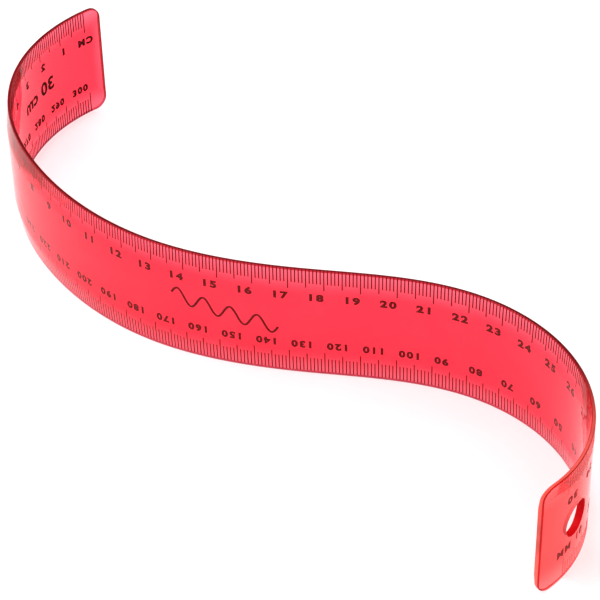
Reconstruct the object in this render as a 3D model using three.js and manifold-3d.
// A flexible 30 cm ruler: one moulded strip of clear red plastic, standing on a long edge and bent into an S.
// So that it can flex, the strip is divided into links, with an upright hinge line between each two of them.
// Millimetres, +Z up. The origin is the centre of the footprint, and the hanging hole's axis lies along X.
import * as THREE from 'three';
import { mergeVertices } from 'three/addons/utils/BufferGeometryUtils.js';
import Module from 'manifold-3d';

// The strip laid flat.
const LENGTH = 315;
const WIDTH = 38;
const THICKNESS = 2;
const EDGE_THICKNESS = 1;
const BEVEL_WIDTH = 7;
const CORNER_RADIUS = 4;
const HOLE_DIAMETER = 10.2;
const HOLE_FROM_END = 14.5;
const HOLE_HEIGHT = 17.5;

// The bend: degrees of turn to the left in each centimetre, at even stations from the zero end to the hole end.
// It changes evenly between two stations.
const TURN_PER_CM = [11.2, 11.4, 5.8, 6.9, 2.2, -9.4, -12.9, -18.2];
const HOLE_HEADING = -90;

// The links. The last two hinges stand on either side of the hanging hole.
const FIRST_HINGE = 11.5;
const LINK_PITCH = 16.5;
const HINGES = 19;
const HINGE_CLEARANCE = 0.3;

// Fineness of the facets.
const STEP_ALONG = 2;
const LINE_STEP = 0.5;
const HOLE_SIDES = 48;
const CORNER_ARC_POINTS = 8;
const CUT_MARGIN = 4;

const STATION_PITCH = LENGTH / (TURN_PER_CM.length - 1);
const HOLE_AT = LENGTH - HOLE_FROM_END;
const HOLE_LINK = HINGES - 1;
const radians = THREE.MathUtils.degToRad;

// Curvature in radians per millimetre, at a distance along the strip.
function curvatureAt(along) {
  const place = THREE.MathUtils.clamp(along / STATION_PITCH, 0, TURN_PER_CM.length - 1);
  const station = Math.min(Math.floor(place), TURN_PER_CM.length - 2);
  const turn = THREE.MathUtils.lerp(TURN_PER_CM[station], TURN_PER_CM[station + 1], place - station);
  return radians(turn) / 10;
}

// The whole centre line, walked from the zero end: at every LINE_STEP a point and the heading there.
function walkCentreLine() {
  const stops = [{ x: 0, y: 0, heading: 0 }];
  for (let i = 0; i < LENGTH / LINE_STEP; i += 1) {
    const last = stops[i];
    const turn = curvatureAt((i + 0.5) * LINE_STEP) * LINE_STEP;
    const middle = last.heading + turn / 2;
    const x = last.x + Math.cos(middle) * LINE_STEP;
    const y = last.y + Math.sin(middle) * LINE_STEP;
    stops.push({ x, y, heading: last.heading + turn });
  }
  return stops;
}

const centreLine = walkCentreLine();
const planTurn = radians(HOLE_HEADING) - centreLine[HOLE_AT / LINE_STEP].heading;

// The point on the centre line at a distance along the strip, and the heading there, in the part's directions.
function placeAt(along) {
  const exact = THREE.MathUtils.clamp(along / LINE_STEP, 0, centreLine.length - 1);
  const i = Math.min(Math.floor(exact), centreLine.length - 2);
  const from = centreLine[i];
  const to = centreLine[i + 1];
  const point = new THREE.Vector3(from.x, from.y, 0).lerp(new THREE.Vector3(to.x, to.y, 0), exact - i);
  point.applyAxisAngle(new THREE.Vector3(0, 0, 1), planTurn);
  const heading = THREE.MathUtils.lerp(from.heading, to.heading, exact - i) + planTurn;
  return { point, heading };
}

// The stretch of the centre line between two distances, as a path to extrude along.
class Stretch extends THREE.Curve {
  constructor(start, end) {
    super();
    this.start = start;
    this.end = end;
  }

  getPoint(t) {
    return placeAt(THREE.MathUtils.lerp(this.start, this.end, t)).point;
  }

  getTangent(t) {
    const { heading } = placeAt(THREE.MathUtils.lerp(this.start, this.end, t));
    return new THREE.Vector3(Math.cos(heading), Math.sin(heading), 0);
  }
}

// The cross-section: a flat back, and a front that slopes back to a thinner edge at the top and the bottom.
// An extrusion along a level path lays the section's x downwards and its y to the left, which is the back.
function section() {
  const back = THICKNESS / 2;
  const front = -THICKNESS / 2;
  const edge = back - EDGE_THICKNESS;
  return new THREE.Shape([
    new THREE.Vector2(0, back),
    new THREE.Vector2(0, edge),
    new THREE.Vector2(-BEVEL_WIDTH, front),
    new THREE.Vector2(-(WIDTH - BEVEL_WIDTH), front),
    new THREE.Vector2(-WIDTH, edge),
    new THREE.Vector2(-WIDTH, back),
  ]);
}

function stretchOfStrip(start, end) {
  const steps = Math.ceil((end - start) / STEP_ALONG);
  return new THREE.ExtrudeGeometry(section(), { steps, bevelEnabled: false, extrudePath: new Stretch(start, end) });
}

// Joining and cutting solids.
const wasm = await Module();
wasm.setup();

function toSolid(geometry) {
  const bare = geometry.clone();
  bare.deleteAttribute('normal');
  bare.deleteAttribute('uv');
  const merged = mergeVertices(bare);
  const vertProperties = new Float32Array(merged.attributes.position.array);
  const triVerts = new Uint32Array(merged.index.array);
  return new wasm.Manifold(new wasm.Mesh({ numProp: 3, vertProperties, triVerts }));
}

function toGeometry(solid) {
  const mesh = solid.getMesh();
  const geometry = new THREE.BufferGeometry();
  geometry.setAttribute('position', new THREE.BufferAttribute(mesh.vertProperties, 3));
  geometry.setIndex(new THREE.BufferAttribute(mesh.triVerts, 1));
  geometry.computeVertexNormals();
  return geometry;
}

// A frame on the strip: local x along it, y to its back and z up.
function frameAt(along) {
  const { point, heading } = placeAt(along);
  return new THREE.Matrix4().makeRotationZ(heading).setPosition(point);
}

// The hanging hole, as a round bar straight through the strip.
function holeCutter() {
  const bar = new THREE.CylinderGeometry(HOLE_DIAMETER / 2, HOLE_DIAMETER / 2, CUT_MARGIN * 2, HOLE_SIDES);
  bar.translate(0, 0, HOLE_HEIGHT);
  return toSolid(bar.applyMatrix4(frameAt(HOLE_AT)));
}

// What rounding takes off the upper corner at one end. The outline lies upright, x along the strip and y up.
// side is 1 where the strip ends in the direction of its heading, and -1 where it starts.
function cornerCutter(end, side, upper) {
  const outline = new THREE.Shape();
  outline.moveTo(-CORNER_RADIUS, 0);
  outline.absarc(-CORNER_RADIUS, -CORNER_RADIUS, CORNER_RADIUS, Math.PI / 2, 0, true);
  outline.lineTo(CUT_MARGIN, -CORNER_RADIUS);
  outline.lineTo(CUT_MARGIN, CUT_MARGIN);
  outline.lineTo(-CORNER_RADIUS, CUT_MARGIN);
  const options = { depth: CUT_MARGIN * 2, bevelEnabled: false, curveSegments: CORNER_ARC_POINTS };
  const block = new THREE.ExtrudeGeometry(outline, options);
  block.translate(0, 0, -CUT_MARGIN);
  block.rotateX(upper ? Math.PI / 2 : -Math.PI / 2);
  block.rotateZ(side > 0 ? 0 : Math.PI);
  block.translate(side * CORNER_RADIUS / 2, 0, upper ? WIDTH : 0);
  return toSolid(block.applyMatrix4(frameAt(end - side * CORNER_RADIUS / 2)));
}

function roundedAt(end, side) {
  const cutters = [true, false].map((upper) => cornerCutter(end, side, upper));
  return (solid) => cutters.reduce((rest, cutter) => rest.subtract(cutter), solid);
}

function hingeAt(index) {
  return FIRST_HINGE + index * LINK_PITCH;
}

// The bend that one hinge stands for: from the middle of the link before it to the middle of the link after it,
// and all the way to the tip at either end of the strip.
function bendAtHinge(index) {
  const from = index === 0 ? 0 : hingeAt(index) - LINK_PITCH / 2;
  const to = index === HINGES - 1 ? LENGTH : hingeAt(index) + LINK_PITCH / 2;
  return Math.abs(placeAt(to).heading - placeAt(from).heading);
}

// Half of the gap at a hinge, which lets the two links straighten out without their ends meeting.
function halfGap(index) {
  return (HINGE_CLEARANCE + THICKNESS * Math.tan(bendAtHinge(index) / 2)) / 2;
}

function linkName(index) {
  if (index === 0) return 'zero_end_link';
  if (index === HINGES) return 'hole_end_link';
  if (index === HOLE_LINK) return 'hole_link';
  return `strip_link_${String(index + 1).padStart(2, '0')}`;
}

function linkGeometry(index) {
  const start = index === 0 ? 0 : hingeAt(index - 1) + halfGap(index - 1);
  const end = index === HINGES ? LENGTH : hingeAt(index) - halfGap(index);
  const plain = toSolid(stretchOfStrip(start, end));
  if (index === 0) return toGeometry(roundedAt(0, -1)(plain));
  if (index === HINGES) return toGeometry(roundedAt(LENGTH, 1)(plain));
  if (index === HOLE_LINK) return toGeometry(plain.subtract(holeCutter()));
  return toGeometry(plain);
}

function redPlastic() {
  return new THREE.MeshStandardMaterial({ color: 0xff4052, roughness: 0.25, metalness: 0 });
}

function buildRuler() {
  const ruler = new THREE.Group();
  for (let index = 0; index <= HINGES; index += 1) {
    const link = new THREE.Mesh(linkGeometry(index), redPlastic());
    link.name = linkName(index);
    ruler.add(link);
  }
  const footprint = new THREE.Box3().setFromObject(ruler).getCenter(new THREE.Vector3());
  ruler.position.set(-footprint.x, -footprint.y, 0);
  return ruler;
}

export default buildRuler();
